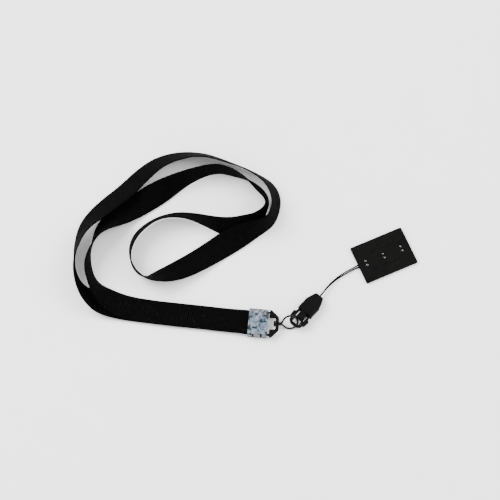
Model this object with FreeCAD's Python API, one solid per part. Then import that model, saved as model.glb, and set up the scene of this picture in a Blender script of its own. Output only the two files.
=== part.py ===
import FreeCAD, Part
import math
import os

from FreeCAD import Placement, Rotation, Vector

# Neck lanyard with a clamped D-bail, a swivel loop, a mini release buckle, a thin tether and a tag.
# Millimetres. +Z is up, X runs along the tag's long side, the origin is the middle of its underside.
os.makedirs("parts", exist_ok=True)

# driving dimensions
STRAP_W = 16.0          # 5/8 inch webbing
STRAP_T = 1.0
SHEET_T = 0.7           # folded clamp sheet
CLAMP_L, CLAMP_W, CLAMP_H = 12.5, 18.2, 5.6
CLAMP_AT = Vector(-93.9, -9.9, 2.8)
CLAMP_TURN = -29.0
BAR_R = 1.1             # bail bar inside the strap fold
BAR_AHEAD = 4.2         # bar centre ahead of the clamp centre
BAIL_TURN = -26.5
BAIL_LIFT = 7.0
BAIL_T = 2.6
RUN_FIT = 0.06          # radial clearance of every running fit
STEM_R = 0.75
WIRE_R = 0.65
LOOP_R = 4.8            # swivel loop, to the wire's centre line
LOOP_REACH = 5.9        # loop centre ahead of the pin's end
LOOP_LEAN = 13.0        # the loop leans on its pin towards the buckle's eye
LOOP_LIFT = -3.5
LOOP_TILT = 53.0
PLUG_AT = Vector(-74.9, -21.1, 4.4)
PLUG_TURN = 25.3
PLUG_PITCH = -3.7
BODY_T = 5.2            # buckle thickness
BODY_W = 10.8
SOCKET_START, SOCKET_END = 12.3, 27.4
CORD_R = 0.45
TAG_L, TAG_W = 36.4, 26.4
TAG_BASE_T, TAG_COVER_T = 1.25, 0.75
HOLE_R = 0.9
HOLE_PITCH_X, HOLE_PITCH_Y = 12.5, 3.0

# the strap's route: x, y of its centre line, turn of its width out of the ground, lift of its low edge
STRAP_ROUTE = [
    (-99.0, -6.9, 0, 1.5),
    (-104.2, -3.7, 0, 1.2),
    (-112.8, 1.6, 0, 0.6),
    (-126.3, 9.6, 0, 0.5),
    (-142.2, 18.8, 0, 0.5),
    (-157.4, 27.7, 0, 0.5),
    (-170.3, 35.5, 3, 0.5),
    (-179.1, 41.5, 12, 0.5),
    (-183.5, 45.8, 24, 0.5),
    (-186.9, 51.0, 45, 0.5),
    (-188.6, 56.8, 63, 0.5),
    (-189.1, 62.9, 77, 0.5),
    (-188.0, 69.9, 87, 0.5),
    (-185.3, 77.0, 95, 0.5),
    (-181.1, 83.6, 107, 0.5),
    (-176.0, 89.8, 117, 0.5),
    (-169.4, 95.6, 131, 0.5),
    (-161.5, 99.7, 142, 0.5),
    (-150.2, 103.7, 148, 0.5),
    (-136.4, 107.6, 149, 0.5),
    (-122.9, 113.2, 147, 0.5),
    (-112.2, 116.5, 141, 0.5),
    (-103.2, 116.9, 135, 0.5),
    (-94.6, 115.5, 130, 0.5),
    (-86.5, 112.8, 123, 0.5),
    (-79.0, 108.8, 118, 0.5),
    (-72.4, 103.0, 115, 0.5),
    (-65.8, 96.5, 112, 0.5),
    (-59.3, 89.8, 110, 0.5),
    (-53.3, 82.2, 112, 0.5),
    (-48.5, 73.3, 118, 0.5),
    (-48.3, 64.1, 117, 0.5),
    (-52.3, 55.5, 108, 0.5),
    (-58.3, 49.4, 104, 0.5),
    (-65.7, 48.1, 109, 0.5),
    (-73.0, 48.3, 122, 0.5),
    (-80.7, 48.6, 142, 0.5),
    (-89.4, 48.3, 163, 0.5),
    (-99.1, 47.2, 178, 0.5),
    (-109.9, 45.3, 187, 0.5),
    (-121.2, 43.9, 193, 0.5),
    (-130.7, 43.3, 204, 0.5),
    (-139.0, 43.6, 219, 0.5),
    (-145.1, 44.4, 238, 0.5),
    (-149.2, 47.1, 254, 0.5),
    (-152.3, 52.3, 263, 0.5),
    (-153.0, 59.0, 268, 0.5),
    (-151.2, 65.8, 270, 0.5),
    (-147.0, 71.8, 272, 0.5),
    (-141.5, 75.9, 276, 0.5),
    (-135.0, 78.5, 280, 0.5),
    (-127.5, 80.2, 284, 0.5),
    (-119.9, 79.8, 284, 0.5),
    (-112.7, 77.5, 279, 0.5),
    (-106.5, 74.0, 275, 0.5),
    (-100.7, 69.3, 267, 0.5),
    (-95.1, 64.2, 258, 0.5),
    (-89.4, 59.4, 246, 0.5),
    (-83.3, 55.7, 232, 0.5),
    (-77.1, 53.6, 222, 0.5),
    (-71.0, 52.9, 230, 0.5),
    (-64.8, 54.0, 250, 0.5),
    (-59.8, 56.7, 265, 0.5),
    (-56.4, 60.2, 266, 0.5),
    (-55.2, 65.5, 250, 0.5),
    (-56.1, 71.4, 243, 0.5),
    (-58.6, 78.3, 247, 0.5),
    (-62.8, 84.8, 259, 0.5),
    (-68.0, 90.7, 268, 0.5),
    (-74.1, 95.8, 271, 0.5),
    (-81.2, 98.2, 275, 0.5),
    (-89.8, 99.0, 282, 0.5),
    (-99.0, 99.1, 292, 0.5),
    (-109.6, 98.4, 312, 0.5),
    (-120.2, 97.6, 334, 0.5),
    (-132.0, 96.5, 352, 0.5),
    (-144.3, 94.6, 370, 0.5),
    (-154.0, 91.9, 390, 0.5),
    (-161.5, 88.6, 412, 0.5),
    (-167.4, 84.7, 431, 0.5),
    (-172.2, 79.9, 442, 0.5),
    (-175.8, 75.1, 453, 0.5),
    (-178.7, 69.6, 463, 0.5),
    (-180.4, 63.7, 470, 0.5),
    (-180.5, 57.4, 477, 0.5),
    (-179.5, 51.2, 493, 0.9),
    (-176.8, 45.0, 514, 1.6),
    (-171.8, 38.5, 532, 1.75),
    (-164.1, 31.9, 540, 1.75),
    (-151.9, 24.0, 540, 1.75),
    (-137.8, 15.6, 540, 1.75),
    (-123.7, 7.6, 540, 1.75),
    (-113.0, 1.1, 540, 1.8),
    (-104.3, -3.8, 540, 2.5),
    (-99.0, -6.9, 540, 2.9),
]


def box(x0, x1, y0, y1, z0, z1):
    return Part.makeBox(x1 - x0, y1 - y0, z1 - z0, Vector(x0, y0, z0))


def rod(radius, start, end):
    return Part.makeCylinder(radius, (end - start).Length, start, end - start)


def slab(outline, z0, z1, corner=0.0):
    """A flat plate from an outline of (x, y) points, its upright edges rounded when asked."""
    points = [Vector(x, y, z0) for x, y in outline]
    plate = Part.Face(Part.makePolygon(points + points[:1])).extrude(Vector(0, 0, z1 - z0))
    if corner:
        upright = [e for e in plate.Edges if abs(e.tangentAt(e.FirstParameter).z) > 0.9]
        plate = plate.makeFillet(corner, upright)
    return plate


def mirrored(outline):
    """Close a half outline given for y > 0 by its mirror image."""
    return outline + [(x, -y) for x, y in reversed(outline)]


def soften(shape, radius, pick):
    return shape.makeFillet(radius, [e for e in shape.Edges if pick(e)])


def level_edges(shape, z):
    return [e for e in shape.Edges if abs(e.BoundBox.ZMin - z) < 1e-4 and abs(e.BoundBox.ZMax - z) < 1e-4]


def rounded_faces(shape, radius):
    """Round the rim of a plate's top and bottom faces."""
    box_ = shape.BoundBox
    return shape.makeFillet(radius, level_edges(shape, box_.ZMin) + level_edges(shape, box_.ZMax))


def frame_at(point, turn, pitch=0.0):
    return Placement(point, Rotation(Vector(0, 0, 1), turn) * Rotation(Vector(0, 1, 0), -pitch))


def placed(shape, placement):
    moved = shape.copy()
    moved.Placement = placement.multiply(moved.Placement)
    return moved


def rounded_path(points):
    """Straight runs joined by tangent arcs: for each corner the arc's two ends and its middle."""
    corners = []
    for a, b, c in zip(points, points[1:], points[2:]):
        back = (a - b).normalize()
        ahead = (c - b).normalize()
        half_turn = (math.pi - back.getAngle(ahead)) / 2
        reach = 0.45 * min((a - b).Length, (c - b).Length)
        radius = reach / math.tan(half_turn)
        inward = (back + ahead).normalize()
        middle = b + inward * (radius / math.cos(half_turn) - radius)
        corners.append((b + back * reach, middle, b + ahead * reach, radius))
    return corners


def tube(points, radius):
    """A round cord along the rounded path, with its shortest bend radius and its length."""
    corners = rounded_path(points)
    edges = []
    last = points[0]
    for start, middle, end, _ in corners:
        edges.append(Part.LineSegment(last, start).toShape())
        edges.append(Part.Arc(start, middle, end).toShape())
        last = end
    edges.append(Part.LineSegment(last, points[-1]).toShape())
    path = Part.Wire(edges)
    ring = Part.Wire([Part.Circle(points[0], points[1] - points[0], radius).toShape()])
    return path.makePipeShell([ring], True, False), min(c[3] for c in corners), path.Length


# strap
def strap_points():
    points = []
    for x, y, turn, lift in STRAP_ROUTE:
        rise = STRAP_W / 2 * abs(math.sin(math.radians(turn)))
        rise += STRAP_T / 2 * abs(math.cos(math.radians(turn)))
        points.append(Vector(x, y, lift + rise))
    return points


def strap_section(centre, along, turn):
    """The strap's rectangle square to its run; the turn lifts its left edge out of the ground."""
    along = Vector(along).normalize()
    left = Vector(0, 0, 1).cross(along).normalize()
    up = along.cross(left)
    angle = math.radians(turn)
    wide = left * math.cos(angle) + up * math.sin(angle)
    thick = along.cross(wide)
    w = wide * (STRAP_W / 2)
    t = thick * (STRAP_T / 2)
    ring = [centre + w + t, centre - w + t, centre - w - t, centre + w - t]
    return Part.makePolygon(ring + ring[:1])


def make_strap():
    points = strap_points()
    turns = [row[2] for row in STRAP_ROUTE]
    corners = rounded_path(points)
    sections = [strap_section(points[0], points[1] - points[0], turns[0])]
    length = 0.0
    last = points[0]
    for i, (start, middle, end, radius) in enumerate(corners, 1):
        into = points[i] - points[i - 1]
        out = points[i + 1] - points[i]
        before = turns[i] + 0.45 * (turns[i - 1] - turns[i]) * 0.5
        after = turns[i] + 0.45 * (turns[i + 1] - turns[i]) * 0.5
        sections.append(strap_section(start, into, before))
        sections.append(strap_section(middle, end - start, (before + after) / 2))
        sections.append(strap_section(end, out, after))
        length += (start - last).Length + (middle - start).Length + (end - middle).Length
        last = end
    sections.append(strap_section(points[-1], points[-1] - points[-2], turns[-1]))
    length += (points[-1] - last).Length
    strap = Part.makeLoft(sections, True, True)
    radii = [c[3] for c in corners]
    print("strap length %.1f shortest radius %.1f" % (length, min(radii)))
    print("strap volume %.0f against section x length %.0f" % (strap.Volume, STRAP_W * STRAP_T * length))
    return strap


CLAMP_FRAME = frame_at(CLAMP_AT, CLAMP_TURN)
BAR_AT = CLAMP_FRAME.multVec(Vector(BAR_AHEAD, 0, 0))
BAIL_FRAME = frame_at(BAR_AT, BAIL_TURN, BAIL_LIFT)
PLUG_FRAME = frame_at(PLUG_AT, PLUG_TURN, PLUG_PITCH)
BAIL_ARM = (7.3, 9.3)       # the bail's crosswise arm, ahead of its bar


def make_strap_fold():
    """The strap's two ends wrapped round the bar and laid back on themselves inside the clamp."""
    half = 6.7
    back, front = -5.4, BAR_AHEAD
    layers = box(back, front, -half, half, -2.0, 2.0)
    nose = Part.makeCylinder(2.0, 2 * half, Vector(front, -half, 0), Vector(0, 1, 0))
    fold = placed(layers.fuse(nose).removeSplitter(), CLAMP_FRAME)
    bore = Part.makeCylinder(BAR_R + RUN_FIT, 40, Vector(0, -20, 0), Vector(0, 1, 0))
    return fold.cut(placed(bore, BAIL_FRAME))


def make_clamp():
    """A folded sheet sleeve, with the folded side cut into tabs."""
    l, w, h = CLAMP_L / 2, CLAMP_W / 2, CLAMP_H / 2
    shell = box(-l, l, -w, w, -h, h)
    shell = soften(shell, 1.2, lambda e: abs(e.tangentAt(e.FirstParameter).x) > 0.9)
    inside = box(-l, l, -w + SHEET_T, w - SHEET_T, -h + SHEET_T, h - SHEET_T)
    inside = soften(inside, 0.5, lambda e: abs(e.tangentAt(e.FirstParameter).x) > 0.9)
    shell = shell.cut(inside)
    for x in (-2.6, 2.6):
        shell = shell.cut(box(x - 0.5, x + 0.5, -w - 1, -w + 1.6, -h + 1.0, h + 1))
    return placed(shell, CLAMP_FRAME)


def make_bail():
    """A cast D: a bar inside the fold, two legs, sloping shoulders and a crosswise arm with a bore."""
    near, far = BAIL_ARM
    t = BAIL_T / 2
    outline = mirrored([(3.3, 9.2), (4.4, 9.2), (far, 4.4)])
    plate = slab(outline, -t, t)
    plate = soften(plate, 2.3, lambda e: e.BoundBox.ZLength > 1 and e.BoundBox.XMin > 4)
    plate = plate.cut(slab(mirrored([(0, 4.0), (near, 4.0)]), -t - 1, t + 1, 0.8))
    plate = rounded_faces(plate, 0.5)
    bail = plate
    for side in (1, -1):
        y0, y1 = sorted((side * 7.1, side * 7.9))
        bail = bail.fuse(box(0, 3.6, y0, y1, -0.9, 0.9))
    bail = bail.fuse(rod(BAR_R, Vector(0, -7.9, 0), Vector(0, 7.9, 0)))
    bail = bail.cut(rod(STEM_R + RUN_FIT, Vector(near - 2, 0, 0), Vector(far + 2, 0, 0)))
    return placed(bail.removeSplitter(), BAIL_FRAME)


def make_swivel_pin():
    """A headed pin through the bail's arm, its outer end a collar closed on the loop's two wire ends."""
    near, far = BAIL_ARM
    pin = rod(1.9, Vector(near - 0.15 - 1.1, 0, 0), Vector(near - 0.15, 0, 0))
    pin = soften(pin, 0.35, lambda e: abs(e.BoundBox.XMax - (near - 1.25)) < 1e-4)
    pin = pin.fuse(rod(STEM_R, Vector(near - 0.5, 0, 0), Vector(far + 0.3, 0, 0)))
    pin = pin.fuse(rod(1.25, Vector(far + 0.2, 0, 0), Vector(far + 1.5, 0, 0)))
    return placed(pin.removeSplitter(), BAIL_FRAME)


def loop_frame():
    """The loop's own frame: at the pin's end, leaning towards the eye and tilted about its axis."""
    end = BAIL_ARM[1] + 1.52
    lean = Rotation(Vector(0, 0, 1), LOOP_LEAN) * Rotation(Vector(0, 1, 0), -LOOP_LIFT)
    return BAIL_FRAME.multiply(Placement(Vector(end, 0, 0), lean * Rotation(Vector(1, 0, 0), LOOP_TILT)))


def make_swivel_loop():
    """A drop-shaped wire loop: two straight legs from the collar, tangent to a round end."""
    half_angle = math.asin(LOOP_R / LOOP_REACH)
    touch_x = LOOP_REACH - LOOP_R * math.sin(half_angle)
    touch_y = LOOP_R * math.cos(half_angle)
    start = Vector(0, 0, 0)
    upper = Vector(touch_x, touch_y, 0)
    lower = Vector(touch_x, -touch_y, 0)
    arc = Part.Arc(upper, Vector(LOOP_REACH + LOOP_R, 0, 0), lower).toShape()
    round_end = Part.Wire([arc]).makePipeShell(
        [Part.Wire([Part.Circle(upper, upper - start, WIRE_R).toShape()])], True, False)
    loop = round_end.fuse(rod(WIRE_R, start, upper)).fuse(rod(WIRE_R, start, lower))
    loop = placed(loop.fuse(Part.makeSphere(WIRE_R, start)), loop_frame())
    behind = box(0, BAIL_ARM[1] + 1.52, -5, 5, -5, 5)
    return loop.cut(placed(behind, BAIL_FRAME)).removeSplitter()


# release buckle, in its own frame: x along the buckle from the eye to the nose, z = 0 at mid thickness
ARM_PIVOT = (4.9, 4.25)
ARM_T = 3.0


def make_plug():
    """Eye with its crossbar, the block between the squeeze arms and the guide tongue."""
    eye = slab(mirrored([(0.9, 2.3), (2.3, 4.2), (3.1, 4.8), (4.0, 4.8)]), -1.0, 1.0, 0.6)
    eye = rounded_faces(eye, 0.4)
    eye = eye.fuse(box(3.5, 7.2, -3.1, 3.1, -1.0, 1.0))
    eye = eye.cut(slab(mirrored([(2.7, 2.5), (6.6, 2.5)]), -2, 2, 0.9))
    block = slab(mirrored([(6.9, 2.3), (12.1, 2.3)]), -2.4, 2.4)
    block = soften(block, 0.5, lambda e: e.BoundBox.XMax < 12.0)
    tongue = box(12.0, 19.0, -1.5, 1.5, -1.2, 1.2)
    tongue = soften(tongue, 0.4, lambda e: e.BoundBox.XMin > 18.9)
    return placed(eye.fuse([block, tongue]).removeSplitter(), PLUG_FRAME)


def make_arm(side):
    """One squeeze arm: a ribbed grip outside the socket and a spring blade inside it."""
    outline = [(4.3, 3.6), (4.3, 4.8), (5.0, 5.9), (8.9, 6.3), (9.6, 5.0), (12.0, 4.3), (17.4, 4.3),
               (18.2, 3.8), (18.2, 3.3), (12.6, 3.2), (9.4, 3.6)]
    arm = slab([(x, side * y) for x, y in outline], -ARM_T / 2, ARM_T / 2)
    for i in range(4):
        x = 5.5 + 0.95 * i
        y0, y1 = sorted((side * (5.5 + 0.1 * i), side * 7.0))
        arm = arm.cut(box(x - 0.22, x + 0.22, y0, y1, -3, 3))
    return placed(arm, PLUG_FRAME)


def make_socket():
    """A hollow box closed towards a tapered nose, with a passage for the tether."""
    t = BODY_T / 2
    shell = slab(mirrored([(SOCKET_START, 5.4), (20.4, 5.4), (25.6, 3.7), (SOCKET_END, 2.9)]), -t, t)
    shell = soften(shell, 0.7, lambda e: e.BoundBox.XMax > SOCKET_START + 0.1)
    room = box(SOCKET_START - 1, 19.6, -4.6, 4.6, -1.75, 1.75)
    knot_room = box(19.5, 25.6, -1.9, 1.9, -1.75, 1.75)
    passage = rod(1.15, Vector(25, 0, 0), Vector(30, 0, 0))
    return placed(shell.cut(room).cut(knot_room).cut(passage), PLUG_FRAME)


# tether: the middle of its two strands, and how far the pair has turned from stacked to side by side
TETHER_ROUTE = [(-42.4, -5.1, 2.2, 15), (-34.6, -2.2, 1.5, 45), (-26.4, -0.7, 1.2, 80)]
POST_AT = (-12.5, 0.0)
POST_R = 2.7
LOOP_IN_TAG = 3.3
TETHER_Z = 0.95
STRAND_GAP = 0.5        # half the spacing of the two strands


def tether_points():
    """One cord from the knot to the tag, round the post and back to the knot."""
    knot = PLUG_FRAME.multVec(Vector(24.9, 0, 0))
    nose = PLUG_FRAME.multVec(Vector(31.0, 0, 0))
    route = [(knot, 0), (nose, 0)] + [(Vector(x, y, z), turn) for x, y, z, turn in TETHER_ROUTE]
    route.append((Vector(-17.5, 0, TETHER_Z), 90))
    strands = ([], [])
    for i, (point, turn) in enumerate(route):
        ahead = route[min(i + 1, len(route) - 1)][0] - route[max(i - 1, 0)][0]
        left = Vector(0, 0, 1).cross(ahead).normalize()
        angle = math.radians(turn)
        offset = (Vector(0, 0, 1) * math.cos(angle) + left * math.sin(angle)) * STRAND_GAP
        strands[0].append(point + offset)
        strands[1].append(point - offset)
    corner = LOOP_IN_TAG / math.cos(math.radians(22.5))
    around = [Vector(POST_AT[0] + corner * math.cos(math.radians(a)),
                     POST_AT[1] + corner * math.sin(math.radians(a)), TETHER_Z)
              for a in (112.5, 67.5, 22.5, -22.5, -67.5, -112.5)]
    return strands[0] + around + strands[1][::-1]


def make_tether():
    cord, radius, length = tube(tether_points(), CORD_R)
    print("tether length %.1f shortest radius %.2f" % (length, radius))
    print("tether volume %.1f against section x length %.1f" % (cord.Volume, math.pi * CORD_R ** 2 * length))
    return cord


def make_knot():
    knot = Part.makeSphere(1.55, Vector(23.1, 0, 0))
    return placed(knot, PLUG_FRAME)


def tag_outline():
    return mirrored([(-TAG_L / 2, TAG_W / 2), (TAG_L / 2, TAG_W / 2)])


def tag_holes():
    holes = []
    for i in (-1, 0, 1):
        for j in (-0.5, 0.5):
            at = Vector(i * HOLE_PITCH_X, j * HOLE_PITCH_Y, -1)
            holes.append(rod(HOLE_R, at, at + Vector(0, 0, 5)))
    return holes


def tether_pocket(z0, z1):
    """The round groove about the post and the mouth that leads to it from the tag's edge."""
    pocket = rod(4.1, Vector(*POST_AT, z0), Vector(*POST_AT, z1))
    edge = -TAG_L / 2
    mouth = slab(mirrored([(edge - 1, 1.3), (edge, 1.5), (-15.2, 3.8)]), z0, z1)
    post = rod(POST_R, Vector(*POST_AT, z0 - 1), Vector(*POST_AT, z1 + 1))
    return pocket.fuse(mouth).cut(post)


def make_tag_base():
    plate = slab(tag_outline(), 0, TAG_BASE_T, 0.8)
    plate = plate.makeFillet(0.35, level_edges(plate, 0))
    return plate.cut(tag_holes() + [tether_pocket(0.35, TAG_BASE_T + 1)])


def make_tag_cover():
    top = TAG_BASE_T + TAG_COVER_T
    plate = slab(tag_outline(), TAG_BASE_T, top, 0.8)
    plate = plate.makeFillet(0.35, level_edges(plate, top))
    return plate.cut(tag_holes() + [tether_pocket(TAG_BASE_T - 1, 1.55)])


parts = {
    "neck_strap": make_strap(),
    "strap_fold": make_strap_fold(),
    "clamp_sleeve": make_clamp(),
    "bail": make_bail(),
    "swivel_pin": make_swivel_pin(),
    "swivel_loop": make_swivel_loop(),
    "plug": make_plug(),
    "squeeze_arm_left": make_arm(1),
    "squeeze_arm_right": make_arm(-1),
    "socket": make_socket(),
    "tether": make_tether(),
    "tether_knot": make_knot(),
    "tag_base": make_tag_base(),
    "tag_cover": make_tag_cover(),
}
for name, shape in parts.items():
    size = shape.BoundBox
    print("%-18s solids %d valid %s volume %.1f z %.2f to %.2f"
          % (name, len(shape.Solids), shape.isValid(), shape.Volume, size.ZMin, size.ZMax))
    shape.exportStep("parts/%s.step" % name)
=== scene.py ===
# %% [markdown]
# # A neck lanyard: webbing loop, folded clamp, swivel, release buckle, tether and tag
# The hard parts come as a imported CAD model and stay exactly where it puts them. This lesson
# gives them their finishes, and makes the soft or folded pieces again as detailed surfaces:
# the webbing, the folded steel clamp, the braided tether, its knot and the marks on the tag.
# Everything is in metres, in the CAD model's own frame.

# %% Load the CAD frame
import math

import bpy
import numpy as np
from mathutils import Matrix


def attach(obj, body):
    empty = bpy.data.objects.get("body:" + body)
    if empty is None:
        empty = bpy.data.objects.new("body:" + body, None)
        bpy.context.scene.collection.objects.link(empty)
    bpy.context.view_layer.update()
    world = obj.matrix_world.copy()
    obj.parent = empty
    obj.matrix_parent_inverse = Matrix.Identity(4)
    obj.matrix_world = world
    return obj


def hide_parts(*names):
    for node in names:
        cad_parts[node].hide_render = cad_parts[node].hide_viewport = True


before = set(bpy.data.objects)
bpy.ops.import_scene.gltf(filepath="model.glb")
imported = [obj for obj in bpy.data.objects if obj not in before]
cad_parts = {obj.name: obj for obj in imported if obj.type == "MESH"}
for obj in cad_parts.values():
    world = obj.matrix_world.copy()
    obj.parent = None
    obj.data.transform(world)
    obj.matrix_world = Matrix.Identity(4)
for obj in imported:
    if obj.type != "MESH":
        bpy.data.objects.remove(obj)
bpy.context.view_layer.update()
MM = 0.001

# %% [markdown]
# ## The camera
# A small object on a table is usually taken from well above with a long lens, so that its
# straight edges stay straight. The camera's place is worked out from a direction, given as
# two angles, and a distance. The lens then follows from how wide a strip it has to see.

# %% Camera
VIEW_TURN = math.radians(-23.8)
VIEW_HEIGHT = math.radians(70.0)
VIEW_DISTANCE = 1.5
VIEW_WIDTH = 0.325
LOOK_AT = np.array((-0.0783, 0.0381, 0.0024))

towards_camera = np.array((
    math.sin(VIEW_TURN) * math.cos(VIEW_HEIGHT),
    -math.cos(VIEW_TURN) * math.cos(VIEW_HEIGHT),
    math.sin(VIEW_HEIGHT)))
camera_data = bpy.data.cameras.new("camera")
camera_data.lens = camera_data.sensor_width * VIEW_DISTANCE / VIEW_WIDTH
camera = bpy.data.objects.new("camera", camera_data)
camera.location = LOOK_AT + towards_camera * VIEW_DISTANCE
camera.rotation_euler = (math.pi / 2 - VIEW_HEIGHT, 0.0, VIEW_TURN)
bpy.context.scene.collection.objects.link(camera)
bpy.context.scene.camera = camera
print("lens %.0f mm" % camera_data.lens)

# %% [markdown]
# ## Reading a smooth line
# A cord or a strap has a fixed length and bends smoothly. A NURBS spline of order 3 is the
# right guide for it: it glides past its control points with no corner anywhere. Blender
# works the curve out itself, so it is made once, read back as a row of points and removed.

# %% Smooth line from a few control points
def read_spline(rows):
    """The smooth line of an open NURBS spline with these control points, as an array."""
    data = bpy.data.curves.new("route", "CURVE")
    data.dimensions = "3D"
    spline = data.splines.new("NURBS")
    spline.points.add(len(rows) - 1)
    for point, row in zip(spline.points, rows):
        point.co = (*row, 1.0)
    spline.order_u = 3
    spline.use_endpoint_u = True
    route = bpy.data.objects.new("route", data)
    bpy.context.scene.collection.objects.link(route)
    bpy.context.view_layer.update()
    line = bpy.data.meshes.new_from_object(route)
    points = np.empty(len(line.vertices) * 3, dtype=np.float32)
    line.vertices.foreach_get("co", points)
    bpy.data.meshes.remove(line)
    bpy.data.objects.remove(route)
    return points.reshape(-1, 3).astype(float)


def distance_along(line):
    """The distance from a line's first point to each of its points: its steps added up."""
    steps = np.linalg.norm(np.diff(line, axis=0), axis=1)
    return np.concatenate(([0.0], np.cumsum(steps)))


# %% [markdown]
# ## The neck strap's route
# The strap is one flat band, so its line alone doesn't describe it: at each point it also
# has a turn. At 0 degrees it lies flat on the table, at 90 it stands on its edge, as it does
# in the bends. Over the whole loop it turns one and a half times, because both of its ends
# leave the clamp flat, one on the other. The lift is how far its lower edge is off the table.

# %% Route of the neck strap: x, y, turn in degrees, lift
STRAP_W = 0.016
STRAP_T = 0.001
STRAP_ROUTE = [
    (-0.0990, -0.0069, 0, 0.0015),
    (-0.1042, -0.0037, 0, 0.0012),
    (-0.1128, 0.0016, 0, 0.0006),
    (-0.1263, 0.0096, 0, 0.0005),
    (-0.1422, 0.0188, 0, 0.0005),
    (-0.1574, 0.0277, 0, 0.0005),
    (-0.1703, 0.0355, 3, 0.0005),
    (-0.1791, 0.0415, 12, 0.0005),
    (-0.1835, 0.0458, 24, 0.0005),
    (-0.1869, 0.0510, 45, 0.0005),
    (-0.1886, 0.0568, 63, 0.0005),
    (-0.1891, 0.0629, 77, 0.0005),
    (-0.1880, 0.0699, 87, 0.0005),
    (-0.1853, 0.0770, 95, 0.0005),
    (-0.1811, 0.0836, 107, 0.0005),
    (-0.1760, 0.0898, 117, 0.0005),
    (-0.1694, 0.0956, 131, 0.0005),
    (-0.1615, 0.0997, 142, 0.0005),
    (-0.1502, 0.1037, 148, 0.0005),
    (-0.1364, 0.1076, 149, 0.0005),
    (-0.1229, 0.1132, 147, 0.0005),
    (-0.1122, 0.1165, 141, 0.0005),
    (-0.1032, 0.1169, 135, 0.0005),
    (-0.0946, 0.1155, 130, 0.0005),
    (-0.0865, 0.1128, 123, 0.0005),
    (-0.0790, 0.1088, 118, 0.0005),
    (-0.0724, 0.1030, 115, 0.0005),
    (-0.0658, 0.0965, 112, 0.0005),
    (-0.0593, 0.0898, 110, 0.0005),
    (-0.0533, 0.0822, 112, 0.0005),
    (-0.0485, 0.0733, 118, 0.0005),
    (-0.0483, 0.0641, 117, 0.0005),
    (-0.0523, 0.0555, 108, 0.0005),
    (-0.0583, 0.0494, 104, 0.0005),
    (-0.0657, 0.0481, 109, 0.0005),
    (-0.0730, 0.0483, 122, 0.0005),
    (-0.0807, 0.0486, 142, 0.0005),
    (-0.0894, 0.0483, 163, 0.0005),
    (-0.0991, 0.0472, 178, 0.0005),
    (-0.1099, 0.0453, 187, 0.0005),
    (-0.1212, 0.0439, 193, 0.0005),
    (-0.1307, 0.0433, 204, 0.0005),
    (-0.1390, 0.0436, 219, 0.0005),
    (-0.1451, 0.0444, 238, 0.0005),
    (-0.1492, 0.0471, 254, 0.0005),
    (-0.1523, 0.0523, 263, 0.0005),
    (-0.1530, 0.0590, 268, 0.0005),
    (-0.1512, 0.0658, 270, 0.0005),
    (-0.1470, 0.0718, 272, 0.0005),
    (-0.1415, 0.0759, 276, 0.0005),
    (-0.1350, 0.0785, 280, 0.0005),
    (-0.1275, 0.0802, 284, 0.0005),
    (-0.1199, 0.0798, 284, 0.0005),
    (-0.1127, 0.0775, 279, 0.0005),
    (-0.1065, 0.0740, 275, 0.0005),
    (-0.1007, 0.0693, 267, 0.0005),
    (-0.0951, 0.0642, 258, 0.0005),
    (-0.0894, 0.0594, 246, 0.0005),
    (-0.0833, 0.0557, 232, 0.0005),
    (-0.0771, 0.0536, 222, 0.0005),
    (-0.0710, 0.0529, 230, 0.0005),
    (-0.0648, 0.0540, 250, 0.0005),
    (-0.0598, 0.0567, 265, 0.0005),
    (-0.0564, 0.0602, 266, 0.0005),
    (-0.0552, 0.0655, 250, 0.0005),
    (-0.0561, 0.0714, 243, 0.0005),
    (-0.0586, 0.0783, 247, 0.0005),
    (-0.0628, 0.0848, 259, 0.0005),
    (-0.0680, 0.0907, 268, 0.0005),
    (-0.0741, 0.0958, 271, 0.0005),
    (-0.0812, 0.0982, 275, 0.0005),
    (-0.0898, 0.0990, 282, 0.0005),
    (-0.0990, 0.0991, 292, 0.0005),
    (-0.1096, 0.0984, 312, 0.0005),
    (-0.1202, 0.0976, 334, 0.0005),
    (-0.1320, 0.0965, 352, 0.0005),
    (-0.1443, 0.0946, 370, 0.0005),
    (-0.1540, 0.0919, 390, 0.0005),
    (-0.1615, 0.0886, 412, 0.0005),
    (-0.1674, 0.0847, 431, 0.0005),
    (-0.1722, 0.0799, 442, 0.0005),
    (-0.1758, 0.0751, 453, 0.0005),
    (-0.1787, 0.0696, 463, 0.0005),
    (-0.1804, 0.0637, 470, 0.0005),
    (-0.1805, 0.0574, 477, 0.0005),
    (-0.1795, 0.0512, 493, 0.0009),
    (-0.1768, 0.0450, 514, 0.0016),
    (-0.1718, 0.0385, 532, 0.00175),
    (-0.1641, 0.0319, 540, 0.00175),
    (-0.1519, 0.0240, 540, 0.00175),
    (-0.1378, 0.0156, 540, 0.00175),
    (-0.1237, 0.0076, 540, 0.00175),
    (-0.1130, 0.0011, 540, 0.0018),
    (-0.1043, -0.0038, 540, 0.0025),
    (-0.0990, -0.0069, 540, 0.0029),
]

# %% The strap's line and its turn, read from two splines with the same number of points
def strap_height(turn, lift):
    """Height of the strap's middle: the lift, plus half its width and half its thickness as
    far as the turn stands each of them up."""
    angle = math.radians(turn)
    return lift + STRAP_W / 2 * abs(math.sin(angle)) + STRAP_T / 2 * abs(math.cos(angle))


strap_line = read_spline([(x, y, strap_height(turn, lift)) for x, y, turn, lift in STRAP_ROUTE])
strap_turn = read_spline([(turn, 0.0, 0.0) for x, y, turn, lift in STRAP_ROUTE])[:, 0]
strap_along = distance_along(strap_line)
print("strap %.4f m in %d points" % (strap_along[-1], len(strap_line)))

# %% [markdown]
# ## The tether's route
# The tether is one thin cord. It leaves the buckle's nose, runs into the tag, goes round a
# post between the tag's two sheets and comes back beside itself. The two strands leave the
# nose one above the other and lie side by side where they reach the tag.

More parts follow.
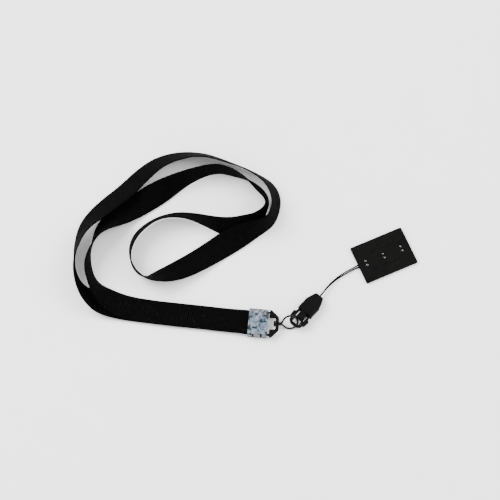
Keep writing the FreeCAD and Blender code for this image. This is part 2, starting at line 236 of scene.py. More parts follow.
# %% Route of the tether
CORD_R = 0.00045
TETHER_ROUTE = [
    (-0.0524, -0.0105, 0.0033),
    (-0.0469, -0.0079, 0.0029),
    (-0.0425, -0.0050, 0.0027),
    (-0.0347, -0.0019, 0.0019),
    (-0.0265, -0.0002, 0.0013),
    (-0.0175, 0.0005, 0.00095),
    (-0.0139, 0.0033, 0.00095),
    (-0.0111, 0.0033, 0.00095),
    (-0.0092, 0.0014, 0.00095),
    (-0.0092, -0.0014, 0.00095),
    (-0.0111, -0.0033, 0.00095),
    (-0.0139, -0.0033, 0.00095),
    (-0.0175, -0.0005, 0.00095),
    (-0.0263, -0.0012, 0.0011),
    (-0.0345, -0.0025, 0.0011),
    (-0.0423, -0.0052, 0.0017),
    (-0.0469, -0.0079, 0.0019),
    (-0.0524, -0.0105, 0.0023),
]
tether_line = read_spline(TETHER_ROUTE)
tether_along = distance_along(tether_line)
print("tether %.4f m in %d points" % (tether_along[-1], len(tether_line)))

# %% [markdown]
# ## From grids of points to skins
# Every new piece here is a skin: a row of closed rings, each ring joined to the next by
# quads, with the first and last ring closed by a face, or joined to each other where the
# piece is itself a ring. Numpy makes all points at once, and the mesh only receives them.
# The sign of the enclosed volume tells whether the faces look outwards.

# %% Skins and pieces
def skin_faces(rows, columns, ring_of_rings=False):
    """Quads between each ring and the next, as rows of four indices."""
    index = np.arange(rows * columns).reshape(rows, columns)
    if ring_of_rings:
        index = np.vstack((index, index[:1]))
    beside = np.roll(index, -1, axis=1)
    quads = np.stack((index[:-1], beside[:-1], beside[1:], index[1:]), axis=-1)
    return quads.reshape(-1, 4)


def enclosed_volume(points, quads):
    """Volume inside a closed skin: each quad's two triangles span a small pyramid to the
    origin, of one sixth of their triple product, and outward pyramids count as positive."""
    a, b, c, d = (points[quads[:, i]] for i in range(4))
    first = np.einsum("ij,ij->i", a, np.cross(b, c))
    second = np.einsum("ij,ij->i", a, np.cross(c, d))
    return (first.sum() + second.sum()) / 6


def add_piece(name, grids, finish, body, lays=None, ring_of_rings=False, replaces=()):
    """One object from one or more grids of points (rings x points x 3), all in metres.
    A lay is the same grid's pattern coordinates: metres along, across and round the piece."""
    points, faces, offset = [], [], 0
    for grid in grids:
        rows, columns = grid.shape[:2]
        flat = grid.reshape(-1, 3)
        quads = skin_faces(rows, columns, ring_of_rings)
        last = np.arange(columns) + (rows - 1) * columns
        caps = [] if ring_of_rings else [np.arange(columns)[::-1], last]
        # the centre of the skin stands in for the caps when the volume's sign is taken
        if enclosed_volume(flat - flat.mean(axis=0), quads) < 0:
            quads = quads[:, ::-1]
            caps = [cap[::-1] for cap in caps]
        faces += (quads + offset).tolist() + [(cap + offset).tolist() for cap in caps]
        points.append(flat)
        offset += len(flat)
    mesh = bpy.data.meshes.new(name)
    mesh.from_pydata(np.vstack(points).tolist(), [], faces)
    mesh.polygons.foreach_set("use_smooth", np.ones(len(faces), dtype=bool))
    mesh.set_sharp_from_angle(angle=math.radians(42))
    if lays is not None:
        lay = mesh.attributes.new("lay", "FLOAT_VECTOR", "POINT")
        lay.data.foreach_set("vector", np.concatenate([l.reshape(-1) for l in lays]))
    mesh.materials.append(finish)
    piece = bpy.data.objects.new(name, mesh)
    bpy.context.scene.collection.objects.link(piece)
    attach(piece, body)
    if replaces:
        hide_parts(*replaces)
    print("%-22s %6d faces on %s" % (name, len(faces), body))
    return piece


# %% Carrying a section along a line
def directions(line, closed=False):
    """At each point of a line: the way it runs, the level direction to its left, and the
    direction square to both, which is up where the line is level."""
    if closed:
        along = np.roll(line, -1, axis=0) - np.roll(line, 1, axis=0)
    else:
        along = np.gradient(line, axis=0)
    along = along / np.linalg.norm(along, axis=1, keepdims=True)
    left = np.cross((0.0, 0.0, 1.0), along)
    left = left / np.linalg.norm(left, axis=1, keepdims=True)
    return along, left, np.cross(along, left)


def carried(line, section, turn=0.0, closed=False):
    """A section's outline (points x 2) at every point of a line. Its first axis is the level
    left direction turned up by the turn, and its second is square to that and to the line."""
    along, left, up = directions(line, closed)
    angle = np.radians(np.broadcast_to(turn, len(line)))[:, None]
    wide = left * np.cos(angle) + up * np.sin(angle)
    thick = np.cross(along, wide)
    return (line[:, None, :] + section[None, :, :1] * wide[:, None, :]
            + section[None, :, 1:] * thick[:, None, :])


def ring_angles(count):
    return np.linspace(0, 2 * math.pi, count, endpoint=False)


# %% [markdown]
# ## Colours and nodes
# Colours are written as on a paint card, in sRGB hex, and one function turns them into the
# linear values that a shader adds up. One more adds a node with its settings and links, so
# that each material below reads as a list of what feeds what.

# %% Colour and node helpers
def srgb(code):
    """Linear red, green and blue of a hex colour, each channel with the sRGB curve undone."""
    channels = np.array([int(code[i:i + 2], 16) for i in (1, 3, 5)]) / 255
    linear = np.where(channels <= 0.04045, channels / 12.92, ((channels + 0.055) / 1.055) ** 2.4)
    return (*linear.tolist(), 1.0)


def add_node(tree, kind, settings=None, links=None):
    """One node: settings go to an input of that name or number, or else to the node itself,
    and links name the inputs and the outputs that feed them."""
    node = tree.nodes.new(kind)
    for key, value in (settings or {}).items():
        if isinstance(key, str) and hasattr(node, key):
            setattr(node, key, value)
        else:
            node.inputs[key].default_value = value
    for key, source in (links or {}).items():
        tree.links.new(source, node.inputs[key])
    return node


def new_material(name):
    """An empty node material, its tree and its output."""
    material = bpy.data.materials.new(name)
    material.use_nodes = True
    material.node_tree.nodes.clear()
    output = material.node_tree.nodes.new("ShaderNodeOutputMaterial")
    return material, material.node_tree, output


# %% [markdown]
# ## Ribbed polyester webbing
# Lanyard tape is a grosgrain: a thick weft makes a rib across the tape about every 1.25 mm,
# and some thirty fine warp ends run along it and pass over and under the ribs. Spun-dyed
# polyester is a deep black, so its colour is nearly black and its gloss low. The colour is
# painted a little grey on the crowns of the ribs and darker between the threads: painted
# highlight and painted shade that follow the ribs' height. The ribs could be modelled, but
# there are over six hundred, so they are a bump that follows the tape's own lengthwise
# coordinate and bends with it.

# %% Webbing material
RIB_PITCH = 1.25
WARP_PITCH = 1.0        # two fine ends drawn as one, as a single end is too fine to show
RIB_HEIGHT = 0.09


def make_webbing():
    material, tree, output = new_material("ribbed_polyester_webbing")
    lay = add_node(tree, "ShaderNodeAttribute", {"attribute_name": "lay"})
    mm = add_node(tree, "ShaderNodeVectorMath", {"operation": "SCALE", "Scale": 1000.0},
                  {0: lay.outputs["Vector"]})
    split = add_node(tree, "ShaderNodeSeparateXYZ", links={0: mm.outputs[0]})
    # thread tension varies, so the ribs wander by a small part of their pitch
    wander = add_node(tree, "ShaderNodeTexNoise", {"Scale": 0.35, "Detail": 3.0},
                      {"Vector": mm.outputs[0]})
    shifted = add_node(tree, "ShaderNodeMath", {"operation": "MULTIPLY_ADD", 1: 0.55},
                       {0: wander.outputs["Fac"], 2: split.outputs["X"]})
    rib_phase = add_node(tree, "ShaderNodeMath",
                         {"operation": "MULTIPLY", 1: 2 * math.pi / RIB_PITCH},
                         {0: shifted.outputs[0]})
    rib = add_node(tree, "ShaderNodeMath", {"operation": "SINE"}, {0: rib_phase.outputs[0]})
    warp_phase = add_node(tree, "ShaderNodeMath",
                          {"operation": "MULTIPLY", 1: 2 * math.pi / WARP_PITCH},
                          {0: split.outputs["Y"]})
    warp = add_node(tree, "ShaderNodeMath", {"operation": "SINE"}, {0: warp_phase.outputs[0]})
    crossing = add_node(tree, "ShaderNodeMath", {"operation": "MULTIPLY"},
                        {0: rib.outputs[0], 1: warp.outputs[0]})
    weave = add_node(tree, "ShaderNodeMath", {"operation": "MULTIPLY_ADD", 1: 0.45},
                     {0: crossing.outputs[0], 2: rib.outputs[0]})
    fuzz = add_node(tree, "ShaderNodeTexNoise", {"Scale": 3.0, "Detail": 4.0, "Roughness": 0.7},
                    {"Vector": mm.outputs[0]})
    height = add_node(tree, "ShaderNodeMath", {"operation": "MULTIPLY_ADD", 1: 0.8},
                      {0: fuzz.outputs["Fac"], 2: weave.outputs[0]})
    bump = add_node(tree, "ShaderNodeBump", {"Strength": 1.0, "Distance": RIB_HEIGHT * MM},
                    {"Height": height.outputs[0]})
    # painted highlight and painted shade: the colour is lighter where the ribs stand high and
    # darker in the valleys between them
    painted_light_by_height = add_node(tree, "ShaderNodeMapRange",
                     {"From Min": 0.1, "From Max": 1.9, "interpolation_type": "SMOOTHSTEP"},
                     {"Value": height.outputs[0]})
    dye_and_painted_light = add_node(tree, "ShaderNodeMix", {"data_type": "RGBA", 6: srgb("#010101"),
                                            7: srgb("#0a0a0b")},
                    {0: painted_light_by_height.outputs[0]})
    # lint and rubbed filaments: sparse pale flecks, a few tenths of a millimetre across
    lint = add_node(tree, "ShaderNodeTexNoise", {"Scale": 1.4, "Detail": 2.0},
                    {"Vector": mm.outputs[0]})
    fleck = add_node(tree, "ShaderNodeMapRange",
                     {"From Min": 0.66, "From Max": 0.78, "To Max": 0.55},
                     {"Value": lint.outputs["Fac"]})
    colour = add_node(tree, "ShaderNodeMix", {"data_type": "RGBA", 7: srgb("#363635")},
                      {0: fleck.outputs[0], 6: dye_and_painted_light.outputs[2]})
    shader = add_node(tree, "ShaderNodeBsdfPrincipled",
                      {"Roughness": 0.85, "Specular IOR Level": 0.02, "IOR": 1.5},
                      {"Base Color": colour.outputs[2], "Normal": bump.outputs[0]})
    tree.links.new(shader.outputs[0], output.inputs[0])
    return material


webbing = make_webbing()
print("material", webbing.name)

# %% [markdown]
# ## The neck strap
# The tape's section is a thin rectangle whose edges are rounded by the selvedge, where the
# weft turns back. A superellipse gives that in one formula. Carried along the route with the
# route's turn, it makes the whole loop as one skin.

# %% Neck strap
def tape_section(width, thickness, count):
    """A superellipse: the eighth power of the distance across, over half the width, and the
    square of the height, over half the thickness, add up to one. The points are crowded
    towards the edges by spacing them as the sine of even steps."""
    across = np.sin(np.linspace(-math.pi / 2, math.pi / 2, count))
    height = np.sqrt(1 - np.abs(across) ** 8)
    upper = np.stack((across * width / 2, height * thickness / 2), axis=-1)
    lower = np.stack((across[-2:0:-1] * width / 2, -height[-2:0:-1] * thickness / 2), axis=-1)
    return np.vstack((upper, lower))


section = tape_section(STRAP_W, STRAP_T, 13)
strap_grid = carried(strap_line, section, strap_turn)
strap_lay = np.zeros(strap_grid.shape)
strap_lay[..., 0] = strap_along[:, None]
strap_lay[..., 1] = section[None, :, 0]
strap_lay[..., 2] = section[None, :, 1]
strap = add_piece("neck_strap_webbing", [strap_grid], webbing, "strap",
                  lays=[strap_lay], replaces=["neck_strap"])

# %% [markdown]
# ## Places of the hard parts
# The clamp and the buckle each have a frame of their own: a point, a turn about the upright
# and a pitch. A piece is worked out in that frame, where it is straight, and then placed.

# %% Frames of the clamp and the buckle
CLAMP_AT = np.array((-93.9, -9.9, 2.8))
CLAMP_TURN = -29.0
PLUG_AT = np.array((-74.9, -21.1, 4.4))
PLUG_TURN = 25.3
PLUG_PITCH = -3.7


def placed(points, at, turn, pitch=0.0):
    """Points in millimetres in a part's frame, turned and moved to their place, in metres."""
    t, p = math.radians(turn), math.radians(pitch)
    tilt = np.array(((math.cos(p), 0, -math.sin(p)), (0, 1, 0), (math.sin(p), 0, math.cos(p))))
    swing = np.array(((math.cos(t), -math.sin(t), 0), (math.sin(t), math.cos(t), 0), (0, 0, 1)))
    return (points @ (swing @ tilt).T + at) * MM


# %% [markdown]
# ## Lines that bend like folded sheet
# A folded strip runs straight and turns evenly in its bends. Its heading is therefore a
# broken line against distance, level on the flats and sloping in the bends, and adding up
# small steps in that heading gives the fold.

# %% Folded line
def folded_line(start, lengths, headings, count):
    """Points and headings of a folded line: the heading is interpolated between the values
    given at the ends of its stretches, and the points are the start plus the summed steps."""
    knots = np.concatenate(([0.0], np.cumsum(lengths)))
    s = np.linspace(0, knots[-1], count)
    heading = np.radians(np.interp(s, knots, headings))
    step = np.gradient(s)
    y = start[0] + np.cumsum(step * np.cos(heading)) - step[0] * math.cos(heading[0])
    z = start[1] + np.cumsum(step * np.sin(heading)) - step[0] * math.sin(heading[0])
    return np.stack((y, z), axis=-1), heading


# %% [markdown]
# ## The strap's fold
# Inside the clamp the tape goes round the bail's bar and back on itself. Little of it shows,
# but through the clamp's open end the fold can be seen holding the bar.

# %% Strap fold round the bar
FOLD_WIDTH = 13.2
FOLD_THICK = 0.62
FOLD_RADIUS = 1.66
FOLD_TAIL = 5.3         # how far the fold reaches back from the clamp's middle
BAR_AHEAD = 4.2


def make_fold():
    """Flat, half a turn round the bar, flat: a folded line in the clamp's lengthwise plane,
    with the tape's section across it."""
    flat = BAR_AHEAD + FOLD_TAIL
    line, _ = folded_line((-FOLD_TAIL, -FOLD_RADIUS), (flat, math.pi * FOLD_RADIUS, flat),
                          (0, 0, 180, 180), 90)
    line3 = np.stack((line[:, 0], np.zeros(len(line)), line[:, 1]), axis=-1)
    run = np.gradient(line3, axis=0)
    run = run / np.linalg.norm(run, axis=1, keepdims=True)
    across = np.array((0.0, 1.0, 0.0))
    outward = np.cross(run, across)
    tape = tape_section(FOLD_WIDTH, FOLD_THICK, 13)
    grid = (line3[:, None, :] + tape[None, :, :1] * across
            + tape[None, :, 1:] * outward[:, None, :])
    lay = np.zeros(grid.shape)
    lay[..., 0] = (distance_along(line3) * MM)[:, None]
    lay[..., 1] = tape[None, :, 0] * MM
    return placed(grid, CLAMP_AT, CLAMP_TURN), lay


fold_grid, fold_lay = make_fold()
add_piece("strap_fold_webbing", [fold_grid], webbing, "strap",
          lays=[fold_lay], replaces=["strap_fold"])

# %% [markdown]
# ## Braided cord
# The tether is a braid of fine nylon, a little under a millimetre thick. Two sets of strands
# wind round it in opposite directions and leave small diamonds. The diamonds are two crossed
# waves in the cord's own coordinates: along it, and round it.

# %% Cord material
BRAID_PITCH = 1.1
BRAID_HEIGHT = 0.04


def make_cord_finish():
    material, tree, output = new_material("braided_nylon_cord")
    lay = add_node(tree, "ShaderNodeAttribute", {"attribute_name": "lay"})
    split = add_node(tree, "ShaderNodeSeparateXYZ", links={0: lay.outputs["Vector"]})
    along = add_node(tree, "ShaderNodeMath",
                     {"operation": "MULTIPLY", 1: 2 * math.pi / (BRAID_PITCH * MM)},
                     {0: split.outputs["X"]})
    strands = []
    for hand in (1.0, -1.0):
        phase = add_node(tree, "ShaderNodeMath", {"operation": "MULTIPLY_ADD", 1: 2.0 * hand},
                         {0: split.outputs["Y"], 2: along.outputs[0]})
        strands.append(add_node(tree, "ShaderNodeMath", {"operation": "SINE"},
                                {0: phase.outputs[0]}))
    braid = add_node(tree, "ShaderNodeMath", {"operation": "MAXIMUM"},
                     {0: strands[0].outputs[0], 1: strands[1].outputs[0]})
    bump = add_node(tree, "ShaderNodeBump", {"Strength": 1.0, "Distance": BRAID_HEIGHT * MM},
                    {"Height": braid.outputs[0]})
    # painted highlight and painted shade: the colour is lighter on the braid's crowns and darker
    # in its grooves
    painted_light_by_height = add_node(tree, "ShaderNodeMapRange", {"From Min": -0.6, "From Max": 1.0},
                     {"Value": braid.outputs[0]})
    colour = add_node(tree, "ShaderNodeMix", {"data_type": "RGBA", 6: srgb("#010101"),
                                              7: srgb("#070708")},
                      {0: painted_light_by_height.outputs[0]})
    shader = add_node(tree, "ShaderNodeBsdfPrincipled",
                      {"Roughness": 0.7, "Specular IOR Level": 0.02, "IOR": 1.53},
                      {"Base Color": colour.outputs[2], "Normal": bump.outputs[0]})
    tree.links.new(shader.outputs[0], output.inputs[0])
    return material


cord_finish = make_cord_finish()
print("material", cord_finish.name)

# %% Tether: a round section carried along its line
turns = ring_angles(12)
cord_section = np.stack((np.cos(turns), np.sin(turns)), axis=-1) * CORD_R
tether_grid = carried(tether_line, cord_section)
tether_lay = np.zeros(tether_grid.shape)
tether_lay[..., 0] = tether_along[:, None]
tether_lay[..., 1] = np.minimum(turns, 2 * math.pi - turns)[None, :]
tether = add_piece("tether_cord", [tether_grid], cord_finish, "socket",
                   lays=[tether_lay], replaces=["tether"])

# %% [markdown]
# ## The knot in the buckle's nose
# The tether's two ends are knotted so that they can't pull out through the nose. A closed
# overhand knot is a trefoil, which has a well-known formula: the cord runs twice round a
# ring while it winds three times in and out of it.

# %% Overhand knot
KNOT_SIZE = 0.36
KNOT_AT = 23.1
KNOT_CORD = 0.0132      # length of cord in the knot, for the braid's pattern
KNOT_PULL = 0.9         # the pulled cord is thinner here


def make_knot():
    """Trefoil: radius two plus the cosine of three turns, at an angle of two turns, and a
    height of the sine of three turns, all times the knot's size."""
    t = ring_angles(96)
    radius = 2 + np.cos(3 * t)
    line = np.stack((radius * np.cos(2 * t), radius * np.sin(2 * t), np.sin(3 * t)), axis=-1)
    line = line * KNOT_SIZE + np.array((KNOT_AT, 0, 0))
    grid = carried(line, cord_section * KNOT_PULL / MM, closed=True)
    lay = np.zeros(grid.shape)
    lay[..., 0] = (t / (2 * math.pi) * KNOT_CORD)[:, None]
    lay[..., 1] = np.minimum(turns, 2 * math.pi - turns)[None, :]
    return placed(grid, PLUG_AT, PLUG_TURN, PLUG_PITCH), lay


knot_grid, knot_lay = make_knot()
add_piece("tether_overhand_knot", [knot_grid], cord_finish, "socket",
          lays=[knot_lay], ring_of_rings=True, replaces=["tether_knot"])

# %% [markdown]
# ## Zinc plate with a clear passivate
# The clamp is folded from bright zinc-plated strip. Its base colour carries painted
# reflections: dark blotches 2 to 4 mm across and blue-violet patches stand for the
# surroundings mirrored in the bright metal. A touch of copper tint and a darker speckle a
# few tenths across are in the base colour as well. A metal's colour is its reflection, so
# these tints go into the base colour.

# %% Clamp material
DENT_HEIGHT = 0.7


def make_zinc():
    material, tree, output = new_material("passivated_zinc_plate")
    place = add_node(tree, "ShaderNodeTexCoord")
    mm = add_node(tree, "ShaderNodeMapping", {"Scale": (1000.0, 1000.0, 1000.0)},
                  {"Vector": place.outputs["Object"]})
    blotch = add_node(tree, "ShaderNodeTexNoise", {"Scale": 0.34, "Detail": 3.0,
                                                   "Distortion": 0.6},
                      {"Vector": mm.outputs[0]})
    speckle = add_node(tree, "ShaderNodeTexNoise", {"Scale": 1.9, "Detail": 5.0,
                                                    "Roughness": 0.75},
                       {"Vector": mm.outputs[0]})
    reflection_and_copper_tint = add_node(tree, "ShaderNodeTexNoise", {"Scale": 0.22, "Detail": 2.0,
                                                 "Distortion": 1.2},
                    {"Vector": mm.outputs[0]})
    # painted reflection: where the blotch noise is low the colour is a dark grey-blue, standing
    # for dark surroundings mirrored in the metal
    painted_dark_reflection = add_node(tree, "ShaderNodeMapRange", {"From Min": 0.4, "From Max": 0.6,
                                                    "interpolation_type": "SMOOTHSTEP"},
                       {"Value": blotch.outputs["Fac"]})
    reflection_blotched = add_node(tree, "ShaderNodeMix", {"data_type": "RGBA", 6: srgb("#1c252d"),
                                             7: srgb("#6d7b85")},
                     {0: painted_dark_reflection.outputs[0]})
    # painted reflection: blue-violet patches where the tint noise is high
    painted_blue_reflection = add_node(tree, "ShaderNodeMapRange", {"From Min": 0.53, "From Max": 0.63},
                      {"Value": reflection_and_copper_tint.outputs["Fac"]})
    blue_reflection_mixed = add_node(tree, "ShaderNodeMix", {"data_type": "RGBA", 7: srgb("#59606f")},
                      {0: painted_blue_reflection.outputs[0], 6: reflection_blotched.outputs[2]})
    copper = add_node(tree, "ShaderNodeMapRange", {"From Min": 0.42, "From Max": 0.35,
                                                   "To Max": 0.8},
                      {"Value": reflection_and_copper_tint.outputs["Fac"]})
    warmed = add_node(tree, "ShaderNodeMix", {"data_type": "RGBA", 7: srgb("#8a7c77")},
                      {0: copper.outputs[0], 6: blue_reflection_mixed.outputs[2]})
    pits = add_node(tree, "ShaderNodeMapRange", {"From Min": 0.5, "From Max": 0.38,
                                                 "To Max": 0.8},
                    {"Value": speckle.outputs["Fac"]})
    colour = add_node(tree, "ShaderNodeMix", {"data_type": "RGBA", 7: srgb("#333f48")},
                      {0: pits.outputs[0], 6: warmed.outputs[2]})
    rough = add_node(tree, "ShaderNodeMapRange", {"From Min": 0.3, "From Max": 0.7,
                                                  "To Min": 0.22, "To Max": 0.5},
                     {"Value": speckle.outputs["Fac"]})
    dents = add_node(tree, "ShaderNodeMath", {"operation": "MULTIPLY_ADD", 1: 0.25},
                     {0: speckle.outputs["Fac"], 2: blotch.outputs["Fac"]})
    bump = add_node(tree, "ShaderNodeBump", {"Strength": 1.0, "Distance": DENT_HEIGHT * MM},
                    {"Height": dents.outputs[0]})
    shader = add_node(tree, "ShaderNodeBsdfPrincipled", {"Metallic": 1.0},
                      {"Base Color": colour.outputs[2], "Roughness": rough.outputs[0],
                       "Normal": bump.outputs[0]})
    tree.links.new(shader.outputs[0], output.inputs[0])
    return material


zinc = make_zinc()
print("material", zinc.name)

# %% [markdown]
# ## The folded clamp
# The clamp is one strip of sheet, pressed round the tape: a floor, a far side, a top, and a
# near side made of three tabs that are bent down one by one. A plain box would look cast, so
# each part is a folded line with the sheet's thickness, the flats are dented by the press,
# and the tabs end at slightly different angles.

# %% Clamp
CLAMP_L, CLAMP_W, CLAMP_H = 12.5, 18.2, 5.6
SHEET_T = 0.7
BEND_R = 0.85


def dent_depth(x, y):
    """How far the press pushed the flats in: three round hollows, each a bell curve of the
    distance from its middle, up to a quarter of a millimetre deep."""
    hollows = ((-3.0, 4.5, 2.6, 0.20), (2.4, -2.0, 3.0, 0.24), (-1.5, -5.2, 1.8, 0.16))
    return sum(d * np.exp(-((x - u) ** 2 + (y - v) ** 2) / (w * w)) for u, v, w, d in hollows)


def folded_sheet(line, heading, x0, x1):
    """A folded line given the sheet's thickness and carried from x0 to x1, thinner over the
    last tenth of a millimetre at each end so that the cut edges are rounded."""
    x = np.concatenate(([x0], np.linspace(x0 + 0.12, x1 - 0.12, 14), [x1]))
    half = np.full(len(x), SHEET_T / 2)
    half[[0, -1]] *= 0.55
    outward = np.stack((np.sin(heading), -np.cos(heading)), axis=-1)
    outer = line[None] + outward[None] * half[:, None, None]
    inner = line[None] - outward[None] * half[:, None, None]
    ring = np.concatenate((outer, inner[:, ::-1]), axis=1)
    grid = np.concatenate((np.broadcast_to(x[:, None, None], (*ring.shape[:2], 1)), ring), axis=-1)
    flat = np.clip((np.abs(grid[..., 2]) - 1.6) / 0.8, 0, 1)
    middle = np.clip((CLAMP_W / 2 - np.abs(grid[..., 1])) / 1.5, 0, 1)
    push = dent_depth(grid[..., 0], grid[..., 1]) * flat * middle
    grid[..., 2] -= np.sign(grid[..., 2]) * push
    return grid


def make_clamp():
    w, h = (CLAMP_W - SHEET_T) / 2, (CLAMP_H - SHEET_T) / 2
    long_flat, short_flat = 2 * (w - BEND_R), 2 * (h - BEND_R)
    bend = math.pi / 2 * BEND_R
    wrap, heading = folded_line(
        (-w, -h + BEND_R + 0.3), (0.3, bend, long_flat, bend, short_flat, bend, long_flat),
        (-90, -90, 0, 0, 90, 90, 180, 180), 150)
    sheets = [folded_sheet(wrap, heading, -CLAMP_L / 2, CLAMP_L / 2)]
    tabs = ((-CLAMP_L / 2, -3.1, 278, 2.4), (-2.1, 2.1, 268, 2.75), (3.1, CLAMP_L / 2, 282, 2.2))
    for x0, x1, tip_heading, reach in tabs:
        tab, heading = folded_line((-w + BEND_R, h), (bend, reach * 0.6, reach * 0.4),
                                   (180, 270, 270, tip_heading), 30)
        sheets.append(folded_sheet(tab, heading, x0, x1))
    return [placed(sheet, CLAMP_AT, CLAMP_TURN) for sheet in sheets]


add_piece("clamp_folded_sheet", make_clamp(), zinc, "strap",
          replaces=["clamp_sleeve"])

# %% [markdown]
# ## Black lacquer, black nickel, acetal and PVC
# The remaining parts are true to shape in the CAD model and keep its meshes. They differ in
# how black they are. Stoved lacquer on the cast bail is the deepest black, with a faint
# orange peel. Black nickel on the wire is a dark metal that flashes grey. The buckle is
# moulded acetal, satin from the spark-eroded mould. The tag is pressed from sheet PVC,
# flatter still, with scuffs from lying in drawers.

# %% Finishes for the hard parts
def make_black(name, dark, light, grain_mm, grain_depth, roughness, specular, metallic=0.0,
               scuff_colour=None):
    """A black finish: two near tones in soft clouds, a fine grain as bump, a roughness that
    follows the clouds, and where asked, pale scuffs drawn out in one direction."""
    material, tree, output = new_material(name)
    place = add_node(tree, "ShaderNodeTexCoord")
    mm = add_node(tree, "ShaderNodeMapping", {"Scale": (1000.0, 1000.0, 1000.0)},
                  {"Vector": place.outputs["Object"]})
    clouds = add_node(tree, "ShaderNodeTexNoise", {"Scale": 0.3, "Detail": 4.0},
                      {"Vector": mm.outputs[0]})
    grain = add_node(tree, "ShaderNodeTexNoise", {"Scale": 1.0 / grain_mm, "Detail": 3.0,
                                                  "Roughness": 0.6},
                     {"Vector": mm.outputs[0]})
    tone = add_node(tree, "ShaderNodeMapRange", {"From Min": 0.35, "From Max": 0.65},
                    {"Value": clouds.outputs["Fac"]})
    base = add_node(tree, "ShaderNodeMix", {"data_type": "RGBA", 6: srgb(dark), 7: srgb(light)},
                    {0: tone.outputs[0]})
    colour = base.outputs[2]
    if scuff_colour:
        drawn = add_node(tree, "ShaderNodeMapping",
                         {"Scale": (0.25, 2.6, 1.0), "Rotation": (0.0, 0.0, 0.7)},
                         {"Vector": mm.outputs[0]})
        scuffs = add_node(tree, "ShaderNodeTexNoise", {"Scale": 0.9, "Detail": 5.0},
                          {"Vector": drawn.outputs[0]})
        amount = add_node(tree, "ShaderNodeMapRange",
                          {"From Min": 0.6, "From Max": 0.74, "To Max": 0.6},
                          {"Value": scuffs.outputs["Fac"]})
        scuffed = add_node(tree, "ShaderNodeMix", {"data_type": "RGBA", 7: srgb(scuff_colour)},
                           {0: amount.outputs[0], 6: colour})
        colour = scuffed.outputs[2]
    rough = add_node(tree, "ShaderNodeMapRange",
                     {"From Min": 0.3, "From Max": 0.7, "To Min": roughness - 0.07,
                      "To Max": roughness + 0.09},
                     {"Value": clouds.outputs["Fac"]})
    bump = add_node(tree, "ShaderNodeBump", {"Strength": 1.0, "Distance": grain_depth * MM},
                    {"Height": grain.outputs["Fac"]})
    settings = {"Metallic": metallic}
    if not metallic:
        settings.update({"Specular IOR Level": specular, "IOR": 1.48})
    shader = add_node(tree, "ShaderNodeBsdfPrincipled", settings,
                      {"Base Color": colour, "Roughness": rough.outputs[0],
                       "Normal": bump.outputs[0]})
    tree.links.new(shader.outputs[0], output.inputs[0])
    print("material", name)
    return material


lacquer = make_black("stoved_black_lacquer", "#010101", "#030304", 1.4, 0.02, 0.45, 0.04)
nickel = make_black("black_nickel_plate", "#141416", "#28282c", 0.5, 0.015, 0.24, 0.5,
                    metallic=1.0)
acetal = make_black("moulded_black_acetal", "#020202", "#050506", 0.5, 0.05, 0.5, 0.05,
                    scuff_colour="#1b1b1b")
pvc = make_black("pressed_black_pvc", "#020202", "#050604", 0.6, 0.06, 0.55, 0.05,
                 scuff_colour="#1d1e1a")

# %% Assign the finishes to the CAD nodes
FINISHES = {
    "bail": lacquer,
    "swivel_pin": nickel,
    "swivel_loop": nickel,
    "plug": acetal,
    "squeeze_arm_left": acetal,
    "squeeze_arm_right": acetal,
    "socket": acetal,
    "tag_base": pvc,
    "tag_cover": pvc,
}
for node, finish in FINISHES.items():
    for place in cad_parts[node].material_slots:
        place.material = finish
print("finished", len(FINISHES), "CAD nodes")

# %% [markdown]
# ## Raised marks on the tag
# Such tags carry two rows of raised marks from the press tool. Here they are plain bars of
# different lengths with no meaning. Each bar is a small pillow, and all of them together are
# one piece.

# %% Tag marks
TAG_TOP = 2.0
MARK_H = 0.22
MARK_W = 0.9
MARK_GAP = 1.0
ROWS = (
    (5.6, -7.5, (1.2, 2.4, 1.6, 2.8, 1.2, 2.0)),
    (-5.9, -10.5, (2.0, 1.2, 2.6, 1.4, 2.0, 2.6, 1.2)),
)


def make_mark(x, y, length):
    """A pillow: rings of a superellipse that shrink towards the top as the height rises, by
    the quarter circle that joins the side to the top."""
    a = ring_angles(16)
    rise = np.linspace(0, math.pi / 2, 5)[:, None]
    out = np.sign(np.cos(a)) * np.abs(np.cos(a)) ** 0.5
    side = np.sign(np.sin(a)) * np.abs(np.sin(a)) ** 0.5
    shrink = MARK_H * (1 - np.cos(rise))
    px = x + out * (length / 2 - shrink)
    py = y + side * (MARK_W / 2 - shrink)
    pz = TAG_TOP - 0.05 + np.broadcast_to(np.sin(rise) * (MARK_H + 0.05), px.shape)
    return np.stack((px, py, pz), axis=-1) * MM


marks = []
for row_y, row_x, widths in ROWS:
    x = row_x
    for width in widths:
        marks.append(make_mark(x + width / 2, row_y, width))
        x += width + MARK_GAP
add_piece("tag_raised_marks", marks, pvc, "socket")

# %% [markdown]
# ## Table and light
# A white sweep under a large, soft light gives the plain pale ground and leaves only a faint
# contact shadow. The world is the soft light from all sides. Two large panels, the stronger
# one above and behind, add the grey flashes on the wire and the pin.

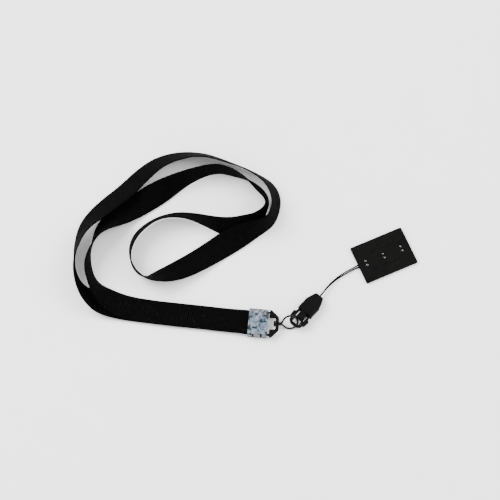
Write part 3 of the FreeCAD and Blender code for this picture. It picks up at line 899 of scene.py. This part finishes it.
# %% Floor
def make_paper():
    material, tree, output = new_material("matt_white_paper")
    place = add_node(tree, "ShaderNodeTexCoord")
    pulp = add_node(tree, "ShaderNodeTexNoise", {"Scale": 40.0, "Detail": 4.0},
                    {"Vector": place.outputs["Object"]})
    colour = add_node(tree, "ShaderNodeMix", {"data_type": "RGBA", 6: srgb("#f6f6f6"),
                                              7: srgb("#fbfbfb")},
                      {0: pulp.outputs["Fac"]})
    shader = add_node(tree, "ShaderNodeBsdfPrincipled",
                      {"Roughness": 0.9, "Specular IOR Level": 0.1},
                      {"Base Color": colour.outputs[2]})
    tree.links.new(shader.outputs[0], output.inputs[0])
    return material


FLOOR_HALF = 3.0
floor_mesh = bpy.data.meshes.new("floor")
floor_mesh.from_pydata([(-FLOOR_HALF, -FLOOR_HALF, 0), (FLOOR_HALF, -FLOOR_HALF, 0),
                        (FLOOR_HALF, FLOOR_HALF, 0), (-FLOOR_HALF, FLOOR_HALF, 0)],
                       [], [(0, 1, 2, 3)])
floor_mesh.materials.append(make_paper())
floor = bpy.data.objects.new("floor", floor_mesh)
bpy.context.scene.collection.objects.link(floor)

# %% Light
SKY_STRENGTH = 1.9

world = bpy.data.worlds.new("studio")
world.use_nodes = True
sky = world.node_tree.nodes["Background"]
sky.inputs["Color"].default_value = (1.0, 1.0, 1.0, 1.0)
sky.inputs["Strength"].default_value = SKY_STRENGTH
bpy.context.scene.world = world


def add_panel(name, position, size, power):
    """A square light panel that faces the middle of the object."""
    data = bpy.data.lights.new(name, "AREA")
    data.shape = "SQUARE"
    data.size = size
    data.energy = power
    panel = bpy.data.objects.new(name, data)
    away = np.array(position) - LOOK_AT
    flat = math.hypot(away[0], away[1])
    panel.location = position
    panel.rotation_euler = (math.atan2(flat, away[2]), 0, math.atan2(away[0], -away[1]))
    bpy.context.scene.collection.objects.link(panel)
    return panel


add_panel("key_panel", (-0.9, 1.1, 1.5), 1.2, 70.0)
add_panel("fill_panel", (1.2, -0.4, 1.3), 1.0, 25.0)
